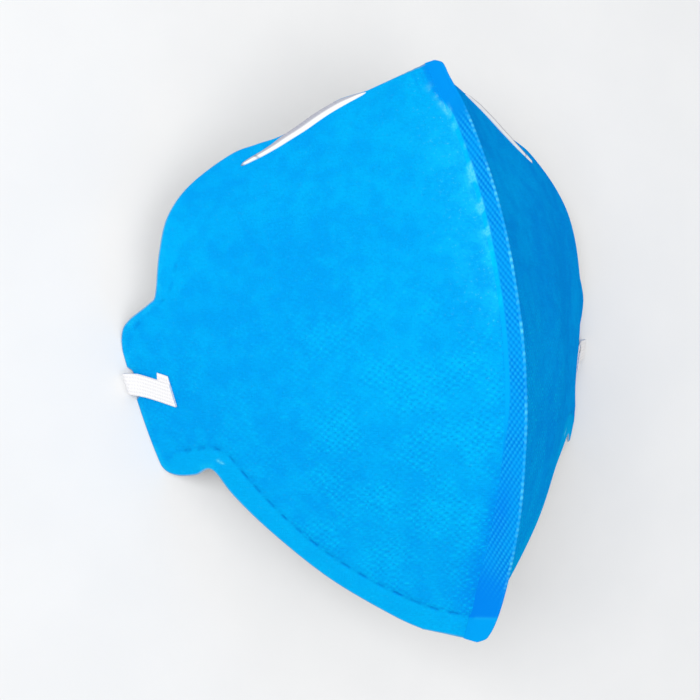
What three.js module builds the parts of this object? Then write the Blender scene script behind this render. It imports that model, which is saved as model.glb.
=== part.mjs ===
/**
 * A folding respirator mask, opened and standing on its two ear tabs.
 *
 * Millimetres. +Z points forward out of the mask, +Y to the nose and +X to the wearer's left. The origin
 * is under the middle of the mask, on the surface it stands on.
 */
import * as THREE from 'three';
import { mergeVertices } from 'three/addons/utils/BufferGeometryUtils.js';

// Driving sizes.
const WALL = 1.4; // the layered cloth of a panel
const GAP = 0.3; // clearance between neighbouring pieces
const FIN = { thick: 1.0, lean: THREE.MathUtils.degToRad(14) }; // the welded centre seam, leaning left
const NOSE_STRIP_THICK = 0.5;
const STRAP = { wide: 6, thick: 0.9 }; // one flat elastic
const STRAP_END = {
  y: -3.65, // where the fastened end crosses the tab's edge
  thick: 1.0, // two elastics, one on the other
  turn: 1.5, // radius of its middle line where it turns round the edge
  bulge: 2.8, // how far out of the edge its two straight runs would meet
  tail: 11.1, // how high it reaches up the outer face
  inside: 6.5, // how far it runs in from the outer face, on the surface
  straight: 1.5, // how high it climbs before it bends to the chin
  bend: 2.5, // the height over which it bends
  slant: 0.45, // how far it then runs to the chin for each mm of height
  climb: 1.25, // length of face that it covers for each mm of height
};
const PASS = 2.2; // how far the tab's edge is lifted over the strap

// Sections across the mask, evenly spaced from the chin to the nose. weld: height of the centre weld;
// spread: how fast a panel falls outward at the weld; curl: how fast it then turns down, per metre.
const SECTION_END = 80;
const sections = [
  { y: -80, weld: 48.2, spread: 1.2, curl: 3.9 },
  { y: -60, weld: 59.6, spread: 1.2, curl: 4.2 },
  { y: -40, weld: 70.4, spread: 1.2, curl: 4.2 },
  { y: -20, weld: 77.3, spread: 1.19, curl: 3.6 },
  { y: 0, weld: 79.3, spread: 1.19, curl: 2.98 },
  { y: 20, weld: 76.7, spread: 1.19, curl: 2.1 },
  { y: 40, weld: 70.5, spread: 1.19, curl: 1.15 },
  { y: 60, weld: 60.2, spread: 1.18, curl: 0.75 },
  { y: 80, weld: 46.8, spread: 1.18, curl: 0.7 },
];

// The free edge of a panel from the nose to the chin. weldY: the point of the weld that the row starts
// from; y, z: where the row meets the edge.
const hem = [
  { at: 'nose', weldY: 78.2, y: 71.9, z: 39.7 },
  { at: 'bridge', weldY: 75.5, y: 70.3, z: 35.2 },
  { at: 'bridge', weldY: 72, y: 67.6, z: 33.1 },
  { at: 'bridge', weldY: 68.5, y: 63.9, z: 30.7 },
  { at: 'under the eye', weldY: 65, y: 61.3, z: 27.5 },
  { at: 'under the eye', weldY: 61.5, y: 59.9, z: 23.8 },
  { at: 'under the eye', weldY: 58, y: 57.7, z: 19.6 },
  { at: 'cheek corner', weldY: 52, y: 50.5, z: 14.5 },
  { at: 'upper cheek', weldY: 44, y: 42.6, z: 12.3 },
  { at: 'cheek', weldY: 34, y: 32.1, z: 11.8 },
  { at: 'tab root', weldY: 24, y: 20.8, z: 10.8 },
  { at: 'tab neck', weldY: 19.5, y: 18.1, z: 9 },
  { at: 'tab shoulder', weldY: 15, y: 14.1, z: 3.6 },
  { at: 'tab top', weldY: 12, y: 10.9, z: 1.2 },
  { at: 'tab rest', weldY: 9.5, y: 5.5, z: 0 },
  { at: 'strap top', weldY: 7, y: 0.4, z: 0 },
  { at: 'strap pass', weldY: 6, y: -0.3, z: PASS },
  { at: 'strap pass', weldY: 2, y: -6.9, z: PASS },
  { at: 'strap foot', weldY: 1, y: -7.6, z: 0 },
  { at: 'tab rest', weldY: -1.5, y: -18, z: 0 },
  { at: 'tab foot', weldY: -4, y: -27.4, z: 0 },
  { at: 'foot corner', weldY: -6, y: -30.4, z: 3 },
  { at: 'foot', weldY: -8.5, y: -30.4, z: 9.4 },
  { at: 'notch', weldY: -12, y: -28.9, z: 14.6 },
  { at: 'jaw', weldY: -24, y: -36.3, z: 17.6 },
  { at: 'jaw', weldY: -42, y: -48.8, z: 24 },
  { at: 'under the chin', weldY: -58, y: -60.6, z: 30.5 },
  { at: 'under the chin', weldY: -70.5, y: -71.5, z: 38.6 },
  { at: 'chin', weldY: -78.2, y: -75.5, z: 42.4 },
];

// The fin along the weld. width: how far it stands out; slide: how far its outer edge is drawn to the chin.
const finRows = [
  { weldY: 78.2, width: 1.5, slide: 2.2 },
  { weldY: 77.2, width: 3.1, slide: 3.3 },
  { weldY: 75.5, width: 3.7, slide: 3.4 },
  { weldY: 73, width: 3.8, slide: 2.7 },
  { weldY: 69, width: 4, slide: 1.7 },
  { weldY: 62.5, width: 4.6, slide: 0.8 },
  { weldY: 52, width: 5, slide: 0.3 },
  { weldY: 30, width: 5.7, slide: 0 },
  { weldY: 5, width: 5.4, slide: 0 },
  { weldY: -20, width: 6.2, slide: 0 },
  { weldY: -40, width: 7.6, slide: 0 },
  { weldY: -57, width: 8, slide: -0.9 },
  { weldY: -66.5, width: 7.7, slide: -2 },
  { weldY: -72, width: 7.1, slide: -2.9 },
  { weldY: -75.2, width: 6.4, slide: -3.5 },
  { weldY: -77.2, width: 5.6, slide: -3.7 },
  { weldY: -78.2, width: 3.6, slide: -2.4 },
];

// Middle line of the white strip in the top hem, from its cheek end to its nose end. drop: how far below
// the weld it lies. width: how wide it shows.
const noseStripRows = [
  { y: 53.9, drop: 40.3, width: 0.5 },
  { y: 54.9, drop: 38.8, width: 1.2 },
  { y: 56.3, drop: 36.4, width: 1.4 },
  { y: 57.9, drop: 33.8, width: 1.6 },
  { y: 60.1, drop: 30.8, width: 1.9 },
  { y: 63.1, drop: 26.6, width: 2 },
  { y: 66.7, drop: 21.8, width: 2 },
  { y: 69.2, drop: 17.6, width: 2 },
  { y: 70.6, drop: 14.4, width: 1.4 },
  { y: 71.3, drop: 12.3, width: 0.5 },
];

// Half of each strap's way over the surface, from the right tab to the middle; the other half mirrors it.
const strapUpperHalf = [
  { x: -68.1, y: -2.7 },
  { x: -59.5, y: -1.2 },
  { x: -54.2, y: 4 },
  { x: -48, y: 14.5 },
  { x: -41.5, y: 26 },
  { x: -35.3, y: 37 },
  { x: -30.5, y: 42.3 },
  { x: -24, y: 44.3 },
  { x: -17.5, y: 42.3 },
  { x: -12.7, y: 37 },
  { x: -11, y: 29.2 },
  { x: -12, y: 18 },
  { x: -10.4, y: 10.5 },
  { x: -6, y: 6 },
  { x: 0, y: 4.4 },
];
const strapLowerHalf = [
  { x: -68.1, y: -4.5 },
  { x: -59.5, y: -6.8 },
  { x: -54.2, y: -12 },
  { x: -48, y: -22 },
  { x: -41.5, y: -33 },
  { x: -35.3, y: -43.8 },
  { x: -30.5, y: -48.8 },
  { x: -24, y: -50.8 },
  { x: -17.5, y: -48.8 },
  { x: -12.7, y: -43.6 },
  { x: -11, y: -35.7 },
  { x: -12, y: -23.5 },
  { x: -10.4, y: -15.8 },
  { x: -6, y: -11.2 },
  { x: 0, y: -9.6 },
];

const colours = { blue: 0x0aa2f0, seamBlue: 0x078fe0, white: 0xf2f4f5, elastic: 0xf4f5f2 };

const vec = (x, y, z) => new THREE.Vector3(x, y, z);
const smooth = (points) => new THREE.CatmullRomCurve3(points, false, 'catmullrom', 0.5);

const weldCurve = smooth(sections.map((row) => vec(row.y, row.weld, 0)));
const shapeCurve = smooth(sections.map((row) => vec(row.y, row.spread, row.curl / 1000)));
const hemCurve = smooth(hem.map((row) => vec(row.weldY, row.y, row.z)));
const finCurve = smooth(finRows.map((row) => vec(row.weldY, row.width, row.slide)));
const noseStripCurve = smooth(noseStripRows.map((row) => vec(row.width, row.y, row.drop)));

const alongSections = (y) => THREE.MathUtils.clamp((y + SECTION_END) / (2 * SECTION_END), 0, 1);
const weldHeight = (y) => weldCurve.getPoint(alongSections(y)).y;

/** A point of the right panel's outer face, at y and drop mm below the weld. */
function face(y, drop) {
  const { y: spread, z: curl } = shapeCurve.getPoint(alongSections(y));
  return vec(-(GAP / 2 + spread * drop - curl * drop * drop), y, weldHeight(y) - drop);
}

/** The direction out of the right panel's face there. */
function outward(y, drop) {
  const step = 0.5;
  const down = face(y, drop + step).sub(face(y, drop - step));
  const toChin = face(y - step, drop).sub(face(y + step, drop));
  return down.cross(toChin).normalize();
}

/** A closed box of grid steps whose points go to place(u, v, w), each from 0 to 1. */
function bentSlab(stepsU, stepsV, place) {
  const box = new THREE.BoxGeometry(1, 1, 1, stepsU, stepsV, 1);
  box.deleteAttribute('normal');
  box.deleteAttribute('uv');
  const slab = mergeVertices(box);
  const spots = slab.getAttribute('position');
  for (let i = 0; i < spots.count; i += 1) {
    const spot = place(spots.getX(i) + 0.5, spots.getY(i) + 0.5, spots.getZ(i) + 0.5);
    spots.setXYZ(i, spot.x, spot.y, spot.z);
  }
  return slab;
}

/** A place function for the right side, or its mirror image for the left. */
const onSide = (side, place) => (u, v, w) => {
  const spot = place(u, side < 0 ? v : 1 - v, w);
  return spot.setX(-side * spot.x);
};

/** u runs from the weld to the free edge, v from the nose to the chin, w from the inner to the outer face. */
function panelPlace(u, v, w) {
  const row = hemCurve.getPoint(v);
  const y = THREE.MathUtils.lerp(row.x, row.y, u);
  const drop = u * (weldHeight(row.y) - row.z);
  const spot = face(y, drop);
  const out = outward(y, drop);
  const inset = (w - 1) * WALL;
  if (u === 0) {
    spot.z += inset / out.z; // mitred, so that the two panels meet flat at the weld
  } else {
    spot.addScaledVector(out, inset);
  }
  const lift = u === 1 ? THREE.MathUtils.clamp(row.z, 0, PASS) : 0;
  return spot.setZ(Math.max(spot.z, lift));
}

function panel(side) {
  const columns = 12;
  const rows = (hem.length - 1) * 2;
  return bentSlab(columns, rows, onSide(side, panelPlace));
}

/** u runs outward from the weld, v from the nose to the chin, w from the right to the left face. */
function seamFin() {
  return bentSlab(3, 44, (u, v, w) => {
    const { x: y, y: width, z: slide } = finCurve.getPoint(v);
    const step = 0.5;
    const toChin = vec(0, -2 * step, weldHeight(y - step) - weldHeight(y + step)).normalize();
    const out = vec(0, toChin.z, -toChin.y);
    const across = vec(Math.cos(FIN.lean), 0, 0).addScaledVector(out, -Math.sin(FIN.lean));
    const up = out.clone().multiplyScalar(Math.cos(FIN.lean)).add(vec(Math.sin(FIN.lean), 0, 0));
    return vec(0, y, weldHeight(y))
      .addScaledVector(out, GAP + (FIN.thick / 2) * Math.sin(FIN.lean))
      .addScaledVector(up, u * width)
      .addScaledVector(toChin, u * slide)
      .addScaledVector(across, (w - 0.5) * FIN.thick);
  });
}

/** u runs along the strip from the cheek to the nose, v across it, w outward. */
function noseStrip(side) {
  return bentSlab(18, 1, onSide(side, (u, v, w) => {
    const { x: width, ...middle } = noseStripCurve.getPoint(u);
    const along = noseStripCurve.getTangent(u).setX(0).normalize();
    const y = middle.y - (v - 0.5) * width * along.z;
    const drop = middle.z + (v - 0.5) * width * along.y;
    return face(y, drop).addScaledVector(outward(y, drop), GAP + w * NOSE_STRIP_THICK);
  }));
}

/** The fastened strap end seen along the tab's edge: x from the foot of the outer face, y up. */
function foldProfile(top) {
  const { thick, turn, bulge, inside } = STRAP_END;
  const corner = new THREE.Vector2(-bulge, thick / 2);
  const climb = top.clone().sub(corner).normalize();
  const rise = climb.angle();
  const reach = turn * Math.tan((Math.PI - rise) / 2); // from the corner to where the turn starts
  const start = corner.clone().addScaledVector(climb, reach);
  return new THREE.Path()
    .moveTo(top.x, top.y)
    .lineTo(start.x, start.y)
    .absarc(corner.x + reach, corner.y + turn, turn, rise + Math.PI / 2, 1.5 * Math.PI, false)
    .lineTo(inside, corner.y);
}

/** u runs from the end on the outer face, round the edge, to the inside; v goes to the chin, w outward. */
function strapEnd(side) {
  const { y: middleY, thick, tail, inside, straight, bend, slant, climb } = STRAP_END;
  const footDrop = weldHeight(middleY);
  const foot = face(middleY, footDrop);
  const top = face(middleY, footDrop - tail).sub(foot)
    .addScaledVector(outward(middleY, footDrop - tail), 2 * GAP + thick / 2);
  const profile = foldProfile(new THREE.Vector2(top.x, top.z));
  return bentSlab(22, 3, onSide(side, (u, v, w) => {
    const spot = profile.getPointAt(u);
    const along = profile.getTangentAt(u);
    const shift = (w - 0.5) * thick;
    const height = spot.y - shift * along.x;
    const above = Math.max(spot.y - straight, 0);
    const bent = Math.min(above / bend, 1); // how much of the bend lies below
    const widen = Math.hypot(1, (slant * bent) / climb); // a slanting band crosses y on a slant
    const y = middleY + (0.5 - v) * STRAP.wide * widen - slant * bent * (above - (bend * bent) / 2);
    const edge = face(y, weldHeight(y));
    if (spot.y < thick) edge.lerp(foot, THREE.MathUtils.clamp(spot.x / inside, 0, 1)).setY(y);
    return edge.add(vec(spot.x + shift * along.y, 0, height));
  }));
}

/** A flat elastic standing on its edge along a half route and its mirror image. */
function freeStrap(half) {
  const tall = STRAP.wide;
  const middle = tall / 2 + 0.1;
  const there = half.map(({ x, y }) => vec(x, y, middle));
  const back = half.slice(0, -1).reverse().map(({ x, y }) => vec(-x, y, middle));
  const bevel = STRAP.thick / 4;
  const [a, b] = [tall / 2, STRAP.thick / 2];
  const section = new THREE.Shape([
    [-a, -b + bevel], [-a + bevel, -b], [a - bevel, -b], [a, -b + bevel],
    [a, b - bevel], [a - bevel, b], [-a + bevel, b], [-a, b - bevel],
  ].map(([p, q]) => new THREE.Vector2(p, q)));
  const strap = new THREE.ExtrudeGeometry(section, {
    extrudePath: smooth([...there, ...back]), steps: 64, bevelEnabled: false,
  });
  return strap;
}

/** One named piece. */
function piece(name, geometry, color, roughness) {
  const material = new THREE.MeshStandardMaterial({ color, roughness, metalness: 0 });
  const mesh = new THREE.Mesh(geometry, material);
  mesh.name = name;
  return mesh;
}

const mask = new THREE.Group();
for (const [word, side] of [['right', -1], ['left', 1]]) {
  mask.add(piece(`panel_${word}`, panel(side), colours.blue, 0.75));
  mask.add(piece(`nose_strip_${word}`, noseStrip(side), colours.white, 0.5));
  mask.add(piece(`strap_end_${word}`, strapEnd(side), colours.elastic, 0.8));
}
mask.add(piece('seam_fin', seamFin(), colours.seamBlue, 0.6));
mask.add(piece('strap_upper', freeStrap(strapUpperHalf), colours.elastic, 0.8));
mask.add(piece('strap_lower', freeStrap(strapLowerHalf), colours.elastic, 0.8));

export default mask;
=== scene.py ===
"""The looks of a folding respirator mask that stands open on its two ear tabs.

Shapes are worked out in millimetres and become metres where a mesh is made. +Z points forward out of the
mask, +Y to the nose and +X to the wearer's left.
"""

import logging
from dataclasses import dataclass
from enum import Enum

import bpy
import numpy as np
from mathutils import Matrix, Vector


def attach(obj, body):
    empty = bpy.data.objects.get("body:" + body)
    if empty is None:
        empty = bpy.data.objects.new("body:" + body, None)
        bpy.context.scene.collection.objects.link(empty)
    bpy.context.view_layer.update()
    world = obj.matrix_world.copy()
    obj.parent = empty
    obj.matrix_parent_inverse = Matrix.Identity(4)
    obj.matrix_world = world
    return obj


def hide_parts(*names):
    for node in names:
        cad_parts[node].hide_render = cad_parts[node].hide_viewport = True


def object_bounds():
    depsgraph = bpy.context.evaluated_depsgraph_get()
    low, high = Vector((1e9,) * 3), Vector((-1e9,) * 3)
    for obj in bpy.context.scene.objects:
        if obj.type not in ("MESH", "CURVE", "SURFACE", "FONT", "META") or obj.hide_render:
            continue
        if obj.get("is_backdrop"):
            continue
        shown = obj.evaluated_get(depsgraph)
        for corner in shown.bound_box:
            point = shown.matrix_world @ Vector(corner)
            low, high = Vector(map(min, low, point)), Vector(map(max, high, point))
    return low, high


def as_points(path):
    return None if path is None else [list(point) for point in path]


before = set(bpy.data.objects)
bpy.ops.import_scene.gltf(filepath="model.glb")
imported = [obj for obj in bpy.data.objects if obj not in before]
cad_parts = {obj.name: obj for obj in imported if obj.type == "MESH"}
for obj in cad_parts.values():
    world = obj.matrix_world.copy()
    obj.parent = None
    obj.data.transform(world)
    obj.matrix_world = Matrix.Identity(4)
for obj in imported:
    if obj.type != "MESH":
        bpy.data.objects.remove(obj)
cad_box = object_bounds()

log = logging.getLogger("mask")
MM = 0.001
BODY = "root"
FINE = 4000  # places on a curve before it is spaced evenly
BLOCK = 4000  # points that are measured at a time
Colour = tuple[float, float, float]
Span = tuple[float, float, float, float]
Table = tuple[tuple[float, ...], ...]


# ------------------------------------------------------------------ whole-array helpers


def catmull_rom(rows: np.ndarray | Table, t: np.ndarray) -> np.ndarray:
    """Points of the uniform Catmull-Rom curve through rows, whose ends run on straight.

    Args:
        rows: the points that the curve passes through, one a row.
        t: places on the curve, from 0 at the first row to 1 at the last.

    Returns:
        One point for each t.
    """
    rows = np.asarray(rows, float)
    padded = np.vstack([2 * rows[0] - rows[1], rows, 2 * rows[-1] - rows[-2]])
    place = np.clip(t, 0, 1) * (len(rows) - 1)
    index = np.minimum(place.astype(int), len(rows) - 2)
    f = (place - index)[..., None]
    a, b, c, d = (padded[index + k] for k in range(4))
    return b + 0.5 * f * ((c - a) + f * ((2 * a - 5 * b + 4 * c - d) + f * (3 * (b - c) + d - a)))


def run_of(points: np.ndarray) -> np.ndarray:
    """The length run along a polyline at each of its points."""
    return np.concatenate([[0.0], np.cumsum(np.linalg.norm(np.diff(points, axis=0), axis=1))])


def evenly(line: np.ndarray, count: int) -> np.ndarray:
    """count points evenly spaced along a polyline, from one end to the other.

    Args:
        line: the polyline's corners, one a row.
        count: how many points to give.

    Returns:
        The points, one a row.
    """
    run = run_of(line)
    even = np.linspace(0, run[-1], count)
    return np.stack([np.interp(even, run, column) for column in line.T], axis=-1)


def smoothstep(low: float, high: float, value: np.ndarray) -> np.ndarray:
    """0 below low, 1 above high, and 3t^2 - 2t^3 between them."""
    t = np.clip((value - low) / (high - low), 0, 1)
    return t * t * (3 - 2 * t)


def plateau(span: Span, value: np.ndarray) -> np.ndarray:
    """0 outside the first and last places of span, 1 between the middle two, smooth between."""
    return smoothstep(span[0], span[1], value) * smoothstep(span[3], span[2], value)


def bell(value: np.ndarray, reach: float) -> np.ndarray:
    """The bell curve exp(-(value / reach)^2)."""
    return np.exp(-((value / reach) ** 2))


def unit(vectors: np.ndarray) -> np.ndarray:
    """The vectors scaled to length 1."""
    return vectors / np.linalg.norm(vectors, axis=-1, keepdims=True)


def across_width(count: int, edge: float) -> np.ndarray:
    """count places from 0 to 1 that crowd together at both ends, the more so the nearer edge is to 1."""
    t = np.linspace(0, 1, count)
    return t - edge * np.sin(2 * np.pi * t) / (2 * np.pi)


def nearest_on(line: np.ndarray, points: np.ndarray) -> tuple[np.ndarray, np.ndarray]:
    """How far each point is from a polyline, and how far along the line its nearest place is.

    The nearest corner is found first, and then the point is dropped squarely on the two stretches that
    meet there.

    Args:
        line: the polyline's corners, n by 3.
        points: the points to measure, in a list or a grid.

    Returns:
        The distances and the lengths along the line, in the list's or the grid's own shape.
    """
    shape, points = points.shape[:-1], points.reshape(-1, 3)
    run = run_of(line)
    nearest = np.empty(len(points), int)
    for block in np.array_split(np.arange(len(points)), max(1, len(points) // BLOCK)):
        gaps = ((points[block, None] - line[None]) ** 2).sum(axis=2)
        nearest[block] = gaps.argmin(axis=1)
    distance = np.full(len(points), np.inf)
    along = np.zeros(len(points))
    for start in (np.maximum(nearest - 1, 0), np.minimum(nearest, len(line) - 2)):
        stretch = line[start + 1] - line[start]
        reach = points - line[start]
        part = np.clip((reach * stretch).sum(axis=1) / (stretch**2).sum(axis=1), 0, 1)
        gap = np.linalg.norm(reach - part[:, None] * stretch, axis=1)
        closer = gap < distance
        distance = np.where(closer, gap, distance)
        along = np.where(closer, run[start] + part * (run[start + 1] - run[start]), along)
    return distance.reshape(shape), along.reshape(shape)


# ------------------------------------------------------------------ meshes


@dataclass
class Wall:
    """A closed wall between two grids of points, with what its finish reads.

    Attributes:
        outer: rows by columns by 3. From outside, columns turn left into rows.
        inner: the other face, point for point.
        flat: rows by columns by 2, the flat place of each point in the cloth, in millimetres.
        marks: named values for each point of the grid, the same on both faces.
        mirrored: whether the grids are a mirror image, so that the faces turn the other way.
    """

    outer: np.ndarray
    inner: np.ndarray
    flat: np.ndarray
    marks: dict[str, np.ndarray]
    mirrored: bool = False

    def quads(self) -> tuple[np.ndarray, np.ndarray]:
        """The wall's faces: its outer side, its four rims and its inner side.

        Returns:
            The corners of the faces, and for each face whether it lies on the inner side.
        """
        rows, columns = self.outer.shape[:2]
        front = np.arange(rows * columns).reshape(rows, columns)
        back = front + rows * columns

        def strip(a: np.ndarray, b: np.ndarray) -> np.ndarray:
            """Faces between lines of points a and b, one line or many."""
            return np.stack([a[..., :-1], a[..., 1:], b[..., 1:], b[..., :-1]], axis=-1).reshape(-1, 4)

        outer = strip(front[:-1], front[1:])
        rims = np.concatenate([
            strip(back[0], front[0]), strip(front[-1], back[-1]),
            strip(front[:, 0], back[:, 0]), strip(back[:, -1], front[:, -1]),
        ])
        faces = np.concatenate([outer, rims, strip(back[1:], back[:-1])])
        inside = np.arange(len(faces)) >= len(outer) + len(rims)
        return (faces[:, ::-1] if self.mirrored else faces), inside


def stand_in(node: str, ending: str, walls: list[Wall],
             finishes: list[bpy.types.Material]) -> bpy.types.Object:
    """One object made of closed walls, at the origin, that stands for a CAD node.

    Args:
        node: the node.
        ending: what its name has after the node's.
        walls: the walls that it is made of.
        finishes: the outer finish, and the inner one where it has its own.

    Returns:
        The object, linked to the scene.
    """
    points, faces, inside, flats = [], [], [], []
    marks: dict[str, list[np.ndarray]] = {key: [] for key in walls[0].marks}
    count = 0
    for wall in walls:
        quads, inner = wall.quads()
        points += [wall.outer.reshape(-1, 3), wall.inner.reshape(-1, 3)]
        flats += [wall.flat.reshape(-1, 2)] * 2
        faces.append(quads + count)
        inside.append(inner)
        for key in marks:
            marks[key] += [wall.marks[key].ravel()] * 2
        count += 2 * wall.outer.shape[0] * wall.outer.shape[1]
    corners = np.concatenate(faces)
    name = f"{node}_{ending}"
    mesh = bpy.data.meshes.new(name)
    mesh.vertices.add(count)
    mesh.vertices.foreach_set("co", (np.concatenate(points) * MM).astype(np.float32).ravel())
    mesh.loops.add(corners.size)
    mesh.loops.foreach_set("vertex_index", corners.astype(np.int32).ravel())
    mesh.polygons.add(len(corners))
    mesh.polygons.foreach_set("loop_start", np.arange(0, corners.size, 4, dtype=np.int32))
    mesh.polygons.foreach_set("use_smooth", np.ones(len(corners), bool))
    if len(finishes) > 1:
        mesh.polygons.foreach_set("material_index", np.concatenate(inside).astype(np.int32))
    layer = mesh.uv_layers.new(name="flat")
    layer.data.foreach_set("uv", np.concatenate(flats)[corners.ravel()].astype(np.float32).ravel())
    for key, values in marks.items():
        attribute = mesh.attributes.new(key, "FLOAT", "POINT")
        attribute.data.foreach_set("value", np.concatenate(values).astype(np.float32))
    mesh.update(calc_edges=True)
    for finish in finishes:
        mesh.materials.append(finish)
    piece = bpy.data.objects.new(name, mesh)
    bpy.context.scene.collection.objects.link(piece)
    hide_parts(node)
    return piece


# ------------------------------------------------------------------ shader maths


class Wire:
    """A shader socket that is reckoned with in plain expressions, each step a Math node."""

    def __init__(self, graph: "Graph", socket: bpy.types.NodeSocket) -> None:
        """Wraps a socket of the graph."""
        self.graph = graph
        self.socket = socket

    def __add__(self, other: "Wire | float") -> "Wire":
        """self + other."""
        return self.graph.math("ADD", self, other)

    __radd__ = __add__

    def __mul__(self, other: "Wire | float") -> "Wire":
        """self * other."""
        return self.graph.math("MULTIPLY", self, other)

    __rmul__ = __mul__

    def __sub__(self, other: "Wire | float") -> "Wire":
        """self - other."""
        return self.graph.math("SUBTRACT", self, other)

    def __rsub__(self, other: "Wire | float") -> "Wire":
        """other - self."""
        return self.graph.math("SUBTRACT", other, self)

    def between(self, low: float, high: float) -> "Wire":
        """0 below low, 1 above high, smooth between them."""
        return self.graph.node("ShaderNodeMapRange", {"interpolation_type": "SMOOTHSTEP"},
                               {"Value": self, "From Min": low, "From Max": high})


class Graph:
    """The node tree of one material."""

    def __init__(self, name: str) -> None:
        """Starts an empty material of that name."""
        self.material = bpy.data.materials.new(name)
        self.material.use_nodes = True
        self.tree = self.material.node_tree
        self.tree.nodes.clear()

    def node(self, kind: str, settings: dict | None = None, sockets: dict | None = None,
             out: int | str = 0) -> Wire:
        """Adds a node.

        Args:
            kind: the node's type.
            settings: its properties, set before its sockets.
            sockets: the value or Wire of each named or numbered input.
            out: the output that is wanted.

        Returns:
            That output.
        """
        node = self.tree.nodes.new(kind)
        for key, value in (settings or {}).items():
            setattr(node, key, value)
        for key, value in (sockets or {}).items():
            if isinstance(value, Wire):
                self.tree.links.new(value.socket, node.inputs[key])
            else:
                node.inputs[key].default_value = value
        return Wire(self, node.outputs[out])

    def math(self, operation: str, *values: Wire | float) -> Wire:
        """A Math node of that operation."""
        return self.node("ShaderNodeMath", {"operation": operation}, dict(enumerate(values)))

    def mark(self, name: str) -> Wire:
        """A named value of the mesh."""
        return self.node("ShaderNodeAttribute", {"attribute_name": name}, out="Fac")

    def blend(self, factor: Wire | float, low: Wire | Colour, high: Wire | Colour) -> Wire:
        """A colour between two others.

        Args:
            factor: how far it is from low to high.
            low, high: the two colours.

        Returns:
            The colour.
        """
        ends = {6: low if isinstance(low, Wire) else (*low, 1.0),
                7: high if isinstance(high, Wire) else (*high, 1.0)}
        return self.node("ShaderNodeMix", {"data_type": "RGBA"}, {0: factor, **ends}, out=2)

    def coats(self, colour: Wire, *coats: tuple[Wire, Colour]) -> Wire:
        """A colour under thin coats of others.

        Args:
            colour: what lies under them.
            coats: from the lowest to the topmost, how strongly each one shows, and its colour.

        Returns:
            The colour that is seen.
        """
        for strength, coat in coats:
            colour = self.blend(strength, colour, coat)
        return colour

    def place(self, scale: Colour = (1.0, 1.0, 1.0), turn: float = 0.0, flat: bool = False) -> Wire:
        """A point of the surface, for a pattern to read.

        Args:
            scale: how many of the pattern's units there are to one of the point's, along each axis.
            turn: how far the pattern is turned about the third axis.
            flat: whether to take the flat place in the cloth, in millimetres, and not Object coordinates.

        Returns:
            The scaled and turned point.
        """
        source = (self.node("ShaderNodeUVMap", {"uv_map": "flat"}) if flat
                  else self.node("ShaderNodeTexCoord", out="Object"))
        return self.node("ShaderNodeMapping", None,
                         {"Vector": source, "Scale": scale, "Rotation": (0.0, 0.0, turn)})

    def noise(self, vector: Wire, scale: float, detail: float = 2.0, rough: float = 0.5) -> Wire:
        """Soft noise, about 0.5."""
        return self.node("ShaderNodeTexNoise", None, {
            "Vector": vector, "Scale": scale, "Detail": detail, "Roughness": rough})

    def lattice(self, waves: tuple[Colour, Colour], shift: Wire | float = 0.0) -> Wire:
        """Spots in rows on the flat cloth: the mean of two cosines.

        Args:
            waves: how many waves each cosine has for a millimetre along each axis.
            shift: how far the rows stray, in radians.

        Returns:
            A value from -1 to 1.
        """
        vector = self.place(flat=True)
        crests = [self.math("COSINE", shift + 2 * np.pi * self.node(
            "ShaderNodeVectorMath", {"operation": "DOT_PRODUCT"}, {0: vector, 1: wave}, out="Value"))
            for wave in waves]
        return 0.5 * (crests[0] + crests[1])

    def bump(self, height: Wire) -> Wire:
        """A bump of that height in millimetres."""
        return self.node("ShaderNodeBump", None, {"Height": height, "Distance": MM, "Strength": 1.0})

    def finish(self, sockets: dict) -> bpy.types.Material:
        """Closes the tree with a Principled surface.

        Args:
            sockets: the value or Wire of each of its inputs.

        Returns:
            The material.
        """
        surface = self.node("ShaderNodeBsdfPrincipled", None, sockets)
        output = self.tree.nodes.new("ShaderNodeOutputMaterial")
        self.tree.links.new(surface.socket, output.inputs["Surface"])
        return self.material


# ------------------------------------------------------------------ finishes


def broken_highlight(mottle: Wire, fleck: Wire) -> Wire:
    """How strongly a painted highlight shows: in blotches, with flecks."""
    return 0.25 + mottle.between(0.4, 0.6) * 0.45 + fleck.between(0.4, 0.6) * 0.3


def broken_glints(mottle: Wire, fleck: Wire) -> Wire:
    """How strongly painted glints show: in tufts, with gaps between them."""
    return mottle.between(0.42, 0.62) * (0.45 + fleck.between(0.42, 0.58) * 0.55)


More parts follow.
